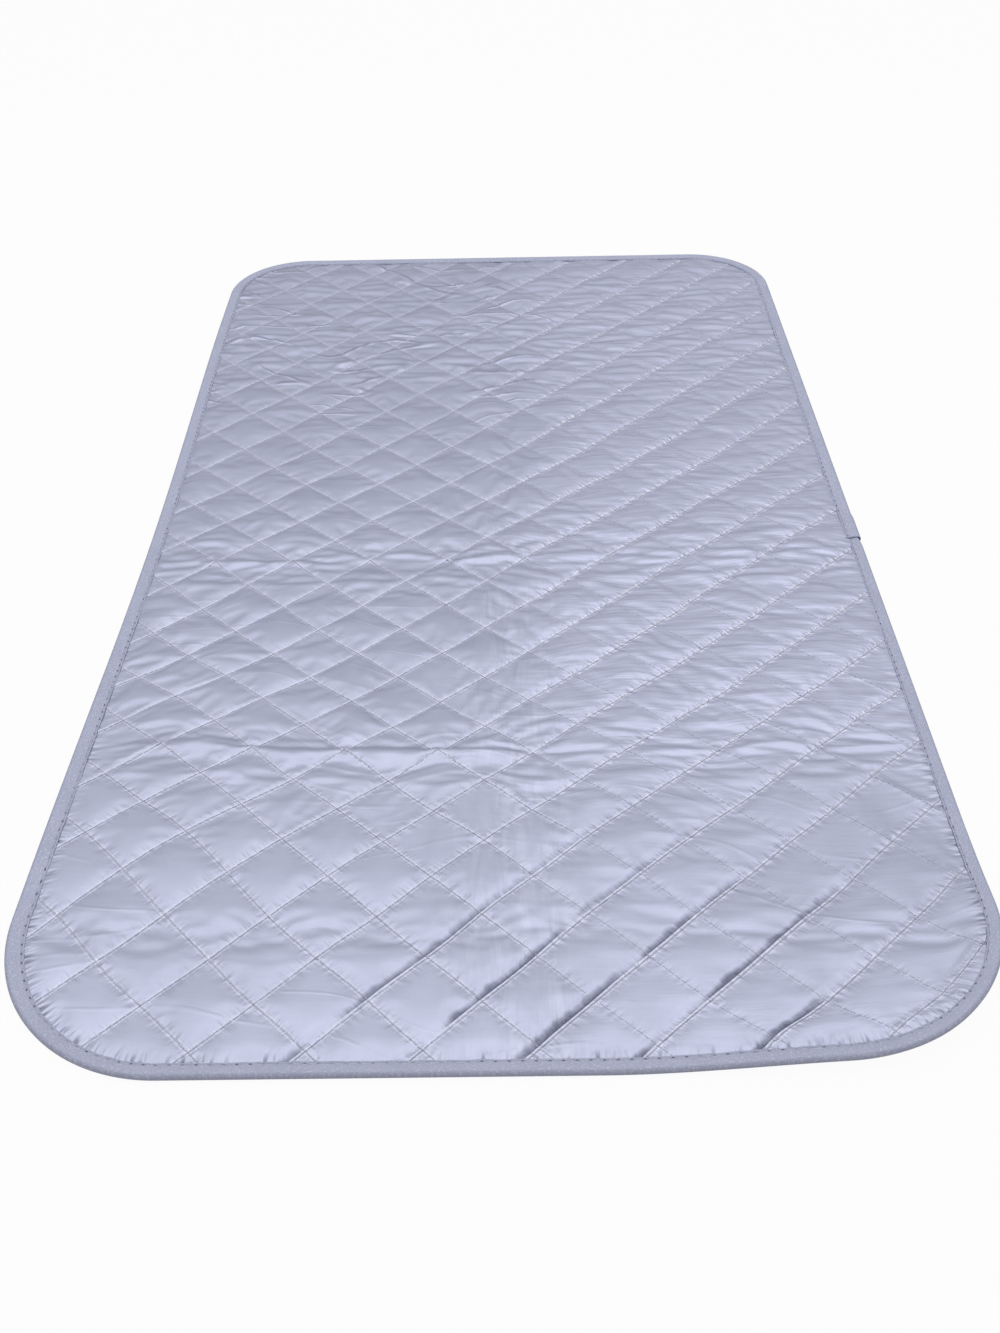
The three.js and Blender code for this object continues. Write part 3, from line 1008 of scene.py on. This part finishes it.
def face_finish():
    """Satin cloth with its finest creases, gathers and stitch lines, as relief and as tone; the
    tone holds a painted sheen on the right, painted highlights along the lines and painted shade
    in them, in the furrows and among the gathers.
    """
    finish, wire = new_finish("satin_face_cloth")
    u, v, off_falling, off_rising = quilt_lines(wire)
    x, y = wire.mapped("lie")
    along, from_seam = wire.mapped("rim")

    def lines(low, rising_high, rising_share, falling_high, falling_share):
        rising = off_rising.near(low, rising_high) * rising_share
        return rising + off_falling.near(low, falling_high) * falling_share

    # Parts of the pad, each from 0 to 1
    right = 1 - x.eased(*RIGHT_ZONE)
    front = y.eased(-0.30, -0.16)
    slanted = 1 - (x - (y + FURROW_FROM) * FURROW_SLANT).eased(*FURROW_ZONE)
    front_right = slanted * y.eased(-0.38, -0.25) * x.eased(0.15, 0.20)
    rear_left = x.eased(-0.02, 0.08) * (1 - y.eased(0.10, 0.20))
    middle = x.off(LONG_CREASE[0]).near(12, 48) * y.eased(-0.08, 0.06)
    quarter = y.off(-0.228).near(8, 28)
    half = y.off(-0.043).near(5, 20)

    # The cloth itself and its wear
    threads = wire.grain(x * 2400, y * 160) + wire.grain(x * 160, y * 2400)
    blotches = wire.grain(x * 18, y * 18, 3.0, 0.6)
    rubbed = wire.grain(x * 75, y * 75, 2.0)
    crinkled = wire.grain(u * 330, v * 330, 1.0)
    patch = 1 - wire.grain(y * 17 + 7, x * 13).eased(0.36, 0.54)

    # Creases across and along the pad
    sway = wire.grain(x * 11 + 3, y * 9, 0.0)
    crest = wire.grain(x * 9, y * 40 + sway * 2.2, 0.0).off(0.5).eased(0.0, 0.055)
    crest = crest * patch * (0.1 + 0.9 * rear_left)
    on_right = 0.1 + 0.9 * right * (1 - 0.85 * front)
    streaks = wire.waves(x * 26, y * 210 + sway * 4, 2.0) * on_right
    upright = wire.waves(x * 150, y * 22, 2.0) * middle
    # Lighter upright streaks along the middle crease
    pale_streaks = 1 - wire.grain(x * 130, y * 20, 2.0).eased(0.48, 0.64)
    pale_streaks = pale_streaks * middle * (0.25 + 0.75 * patch)
    folded = (quarter + half * 0.6) * (1 - 0.6 * right)
    bows = wire.waves(x * 13, y * 100 + sway * 5, 1.0) * folded

    # Cloth drawn in along the stitch lines
    pull_rising = 0.3 + 0.8 * wire.math("MAXIMUM", right, front)
    drawn_rising = wire.waves(u * 230, v * 60, 2.0) * off_rising.near(0.4, 7) * pull_rising
    pull_falling = 0.6 + 0.7 * front - 0.5 * right
    drawn_falling = wire.waves(v * 230, u * 60, 2.0) * off_falling.near(0.4, 6) * pull_falling
    groove = lines(0.0, 1.1, 0.45, 1.0, 0.4 - 0.36 * right)
    sewn = lines(0.5, 1.7, 1.0, 1.6, 1 - 0.8 * right)
    # painted shade: thin dark lines on the stitch lines
    line_shade = lines(0.1, 0.6, 0.3 + 0.4 * right, 0.6, 0.3 - 0.22 * right)
    behind_rising = wire.math("FLOORED_MODULO", v, SIDE)
    behind_falling = wire.math("FLOORED_MODULO", u, SIDE)
    ragged = wire.grain(u * 110, v * 30, 2.0)
    ledge_rising = behind_rising.near(0.2, 2.2) * 0.5
    ledge_falling = behind_falling.near(0.2, 2.0) * (0.42 - 0.4 * right)
    shelf = (behind_rising + ragged * 2 * MM).near(1.2, 8)
    ledge = ledge_rising + ledge_falling + shelf * right * (1 - front) * 0.9
    parted = 1 - wire.grain(u * 24, v * 40).eased(0.34, 0.58)
    # Furrows at the front right: a hollow in the relief and a painted fold shadow in the colour
    shaded_furrow = (behind_rising + ragged * 4.5 * MM).near(4.2, 7.6)
    shaded_furrow = shaded_furrow * (1 - behind_rising.near(1.0, 1.8)) * front_right * parted
    # Crinkles beside the rising lines on the right: a relief, and a painted highlight in the
    # colour
    crinkles_and_highlight = 1 - wire.grain(u * 260, v * 170, 1.0).eased(0.46, 0.62)
    crinkles_and_highlight = crinkles_and_highlight * off_rising.near(0.6, 3.4) * right * (1 - 0.6 * front)

    # Short gathers along the tape
    spikes = wire.grain(along * 300, from_seam * 60, 1.0)
    tufted = 1 - wire.grain(along * 30, 0.5).eased(0.40, 0.56)
    gathers = (spikes - 0.5) * from_seam.near(1, 10)
    gathers = gathers * (0.3 + 0.7 * tufted) * (0.3 + 0.7 * front)
    shadows = spikes.eased(0.30, 0.46) * from_seam.near(1, 7) * tufted * front

    colour = wire.coated(
        wire.tone(blotches, srgb(168, 174, 196), srgb(192, 196, 221)),
        # painted sheen: the right half behind the front is lighter
        (right * (1 - front) * 0.5, (200, 204, 230)),
        (threads * 0.15, (206, 210, 230)),
        (pale_streaks * 0.2, (218, 221, 241)),
        # painted highlights: light strips along the stitch lines and on the crinkles
        (sewn * crinkled * 0.55 + crinkles_and_highlight * 0.5, (226, 229, 243)),
        # painted shade in the stitch lines
        (line_shade * (0.3 + 0.25 * front), (118, 124, 150)),
        (shadows * 0.75, (100, 105, 132)),
        # painted shadow in the furrows at the front right
        (shaded_furrow * 0.85, (84, 89, 114)),
    )
    height = (
        crest * 0.9
        + streaks * 0.5
        + upright * 0.9
        + crinkles_and_highlight * 0.3
        + bows * 1.4
        + drawn_rising * 0.85
        + drawn_falling * 0.7
        + gathers * 1.3
        + sewn * crinkled * 0.25
        + threads * 0.02
        - groove * 0.45
        - ledge * 0.5
        - shaded_furrow * 0.5
    )
    put_out(wire, {
        "Base Color": colour,
        "Metallic": 0.6,
        "Roughness": 0.34 + 0.12 * rubbed,
        "Normal": bump(wire, height * MM, 1.0),
    })
    return finish


def woven(wire, across, along, across_pitch, along_pitch):
    over = wire.math("SINE", across * (2 * math.pi / across_pitch))
    return over * wire.math("SINE", along * (2 * math.pi / along_pitch))


def backing_finish():
    """Woven cloth, with painted shade along the stitch lines."""
    finish, wire = new_finish("woven_backing_cloth")
    u, v, off_falling, off_rising = quilt_lines(wire)
    x, y = (u - v) * DIAGONAL, (u + v) * DIAGONAL
    weave = woven(wire, x, y, BACKING_WEAVE, BACKING_WEAVE)
    slubs = wire.grain(x * 1500, y * 90) + wire.grain(x * 90, y * 1500)
    blotches = wire.grain(x * 20, y * 20, 3.0, 0.6)
    # painted shade in the furrows along the stitch lines
    near_line = [off.near(0.2, 2) for off in (off_rising, off_falling)]
    furrow_shade = wire.math("MAXIMUM", *near_line)
    put_out(wire, {
        "Base Color": wire.coated(
            wire.tone(blotches, srgb(192, 195, 203), srgb(208, 210, 216)),
            (slubs * 0.25, (224, 226, 230)),
            (furrow_shade * 0.35, (160, 164, 174)),
        ),
        "Roughness": 0.82 + 0.1 * blotches,
        "Sheen Weight": 0.2,
        "Normal": bump(wire, weave * 0.5 + slubs, 0.14 * MM),
    })
    return finish


def tape_finish():
    """Woven tape with its seam holes pressed in, and painted shade in the seam's groove, over its
    rolled fold and underneath.
    """
    finish, wire = new_finish("woven_edge_tape")
    along, across = wire.mapped("tape")
    ribs = woven(wire, along, across, TAPE_RIB, TAPE_WALE)
    slubs = wire.grain(along * 1500, across * 200) + wire.grain(along * 120, across * 1600)
    flecks = 1 - wire.grain(along * 700, across * 900).eased(0.48, 0.66)
    blotches = wire.grain(along * 45, across * 60, 3.0, 0.6)
    off_seam = across.off(SEAM_INSET)
    off_hole = wire.math("PINGPONG", along, SEAM_PITCH / 2)
    bold = 0.25 + 0.75 * (1 - wire.grain(along * 45, 0.5).eased(0.44, 0.6))
    hole = off_seam.near(0.25, 0.7) * off_hole.near(0.3, 1.0) * bold
    # painted shade in the groove along the seam
    groove = off_seam.near(0.1, 0.8)
    # painted shade over the rolled fold of the tape
    roll_shade = across.off(0.0).near(0.2, 2.4)
    # painted shade under the tape, a dark contact line
    under = across.near(-0.6, 0.3)
    put_out(wire, {
        "Base Color": wire.coated(
            wire.tone(blotches, srgb(164, 170, 198), srgb(184, 189, 217)),
            (slubs * 0.22, (196, 200, 220)),
            (flecks * 0.4, (222, 224, 236)),
            (groove * 0.35, (112, 117, 142)),
            (roll_shade * 0.35, (116, 116, 134)),
            (under * 0.6, (84, 84, 98)),
            (hole * 0.8, (66, 68, 86)),
        ),
        "Metallic": 0.1,
        "Roughness": 0.58 + 0.1 * blotches,
        "Normal": bump(wire, ribs * 0.4 + slubs + flecks - hole, 0.15 * MM),
    })
    return finish


def thread_finish():
    finish, wire = new_finish("sewing_thread")
    round_it, along = wire.mapped("thread")
    twist = wire.math("SINE", (along * 9 + round_it * 2) * (2 * math.pi))
    shade = wire.tone(twist * 0.5 + 0.5, srgb(182, 187, 210), srgb(212, 216, 235))
    put_out(wire, {
        "Base Color": shade,
        "Roughness": 0.5,
        "Sheen Weight": 0.15,
        "Normal": bump(wire, twist, 0.05 * MM),
    })
    return finish


def wadding_finish():
    finish, wire = new_finish("fibre_wadding")
    x, y = wire.node("TexCoord", out=3).split()
    fibres = wire.grain(x * 900, y * 120, 3.0) + wire.grain(x * 120, y * 900, 3.0)
    put_out(wire, {
        "Base Color": wire.tone(fibres * 0.5, srgb(228, 228, 224), srgb(246, 246, 243)),
        "Roughness": 0.95,
        "Normal": bump(wire, fibres, 0.3 * MM),
    })
    return finish


def floor_finish():
    """A floor that looks white and lights the pad softly."""
    finish, wire = new_finish("pale_floor")
    seen = shown(wire)
    white = wire.node("Emission", {"Color": (1, 1, 1, 1), "Strength": 1.0})
    matt = wire.node("BsdfDiffuse", {"Color": (0.7, 0.7, 0.71, 1)})
    mixed = wire.node("MixShader", {0: seen * 0.95, 1: matt, 2: white})
    wire.node("OutputMaterial", {"Surface": mixed})
    return finish


def shown(wire):
    """1 where the camera, a reflection or a clear piece sees a surface, not where it lights."""
    names = ("Is Camera Ray", "Is Glossy Ray", "Is Transmission Ray")
    camera, glossy, clear = [wire.node("LightPath", out=name) for name in names]
    return wire.math("MINIMUM", camera + glossy + clear, 1.0)


def make_stage():
    start()
    bpy.ops.mesh.primitive_plane_add(size=8, location=(0, 0, FLOOR_LEVEL))
    floor = name_piece("floor")
    floor.data.materials.append(floor_finish())
    world = bpy.data.worlds.new("studio")
    world.use_nodes = True
    world.node_tree.nodes.clear()
    wire = Wire(world.node_tree)
    rise = wire.node("SeparateXYZ", {0: wire.node("TexCoord", out=0)}, out=2)
    up = wire.math("MAXIMUM", rise, 0.0)
    seen = wire.node("LightPath", out=0)
    dome = SIDE_LIGHT + (TOP_LIGHT - SIDE_LIGHT) * up
    strength = dome + (1 - dome) * seen
    ground = wire.node("Background", {"Color": (1, 1, 1, 1), "Strength": strength})
    wire.node("OutputWorld", {"Surface": ground})
    bpy.context.scene.world = world


def make_softbox():
    lamp = bpy.data.lights.new("overhead_softbox", "AREA")
    lamp.shape = "RECTANGLE"
    lamp.size, lamp.size_y = SOFTBOX_SIZE
    lamp.energy = SOFTBOX_POWER
    holder = add_object("overhead_softbox", lamp)
    holder.location = SOFTBOX_PLACE
    down = Vector() - Vector(SOFTBOX_PLACE)
    holder.rotation_euler = down.to_track_quat("-Z", "Y").to_euler()


def make_camera():
    data = bpy.data.cameras.new("camera")
    data.sensor_width = CAMERA_SENSOR
    data.lens = CAMERA_LENS
    data.clip_start = 0.01
    camera = add_object("camera", data)
    yaw = Matrix.Rotation(-CAMERA_YAW, 4, "Z")
    pitch = Matrix.Rotation(math.pi / 2 - CAMERA_PITCH, 4, "X")
    roll = Matrix.Rotation(CAMERA_ROLL, 4, "Z")
    camera.matrix_world = Matrix.Translation(CAMERA_PLACE) @ yaw @ pitch @ roll
    bpy.context.scene.camera = camera


def lay_down(piece, finish, node):
    """Lays the piece down, dresses it and hides the two halves of its solid across the fold."""
    set_coordinates(piece, laid(coordinates(piece)))
    piece.data.materials.clear()
    piece.data.materials.append(finish)
    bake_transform(piece)
    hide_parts(node + "_front", node + "_rear")


def sew_both(kind, node, stitch, row, grounds, seeds):
    """Sews the stitches on top and the bobbin's underneath, and lays both down."""
    above = sew(kind + "_stitches", stitch, *row, *grounds[0], True, seeds[0])
    lay_down(above, thread, node)
    below = sew(kind + "_back_stitches", stitch, *row, *grounds[1], False, seeds[1])
    lay_down(below, thread, kind + "_bobbin_thread")


make_camera()
make_stage()
make_softbox()
bpy.context.scene.view_settings.view_transform = "Standard"

face = make_face_cloth()
backing = make_backing_cloth()
face_tree = tree_of(face)
backing_tree = tree_of(backing)
wadding = make_wadding(face_tree, backing_tree)
tape = make_edge_binding()
tape_tree = tree_of(tape)

thread = thread_finish()
quilt_stitch = model_stitch(QUILT_PITCH * STITCH_SHARE)
cloths = ((face_tree, FACE_SEWN), (backing_tree, BACKING_SEWN))
for kind, seeds in (("rising", RISING_SEEDS), ("falling", FALLING_SEEDS)):
    row = quilt_stitches(kind == "rising")
    sew_both(kind, kind + "_quilt_thread", quilt_stitch, row, cloths, seeds)
bpy.data.objects.remove(quilt_stitch)

seam_stitch = model_stitch(SEAM_PITCH * STITCH_SHARE)
seam_count = round(RIM_LENGTH / SEAM_PITCH)
middles, headings = rim_places((np.arange(seam_count) + 0.5) * SEAM_PITCH, seam_inset)
seam = (middles, headings, np.ones(seam_count))
tapes = ((tape_tree, TAPE_TOP), (tape_tree, 0.0))
sew_both("binding", "binding_seam_thread", seam_stitch, seam, tapes, SEAM_SEEDS)
bpy.data.objects.remove(seam_stitch)

lay_down(face, face_finish(), "face_cloth")
lay_down(backing, backing_finish(), "backing_cloth")
lay_down(wadding, wadding_finish(), "wadding")
lay_down(tape, tape_finish(), "edge_binding")
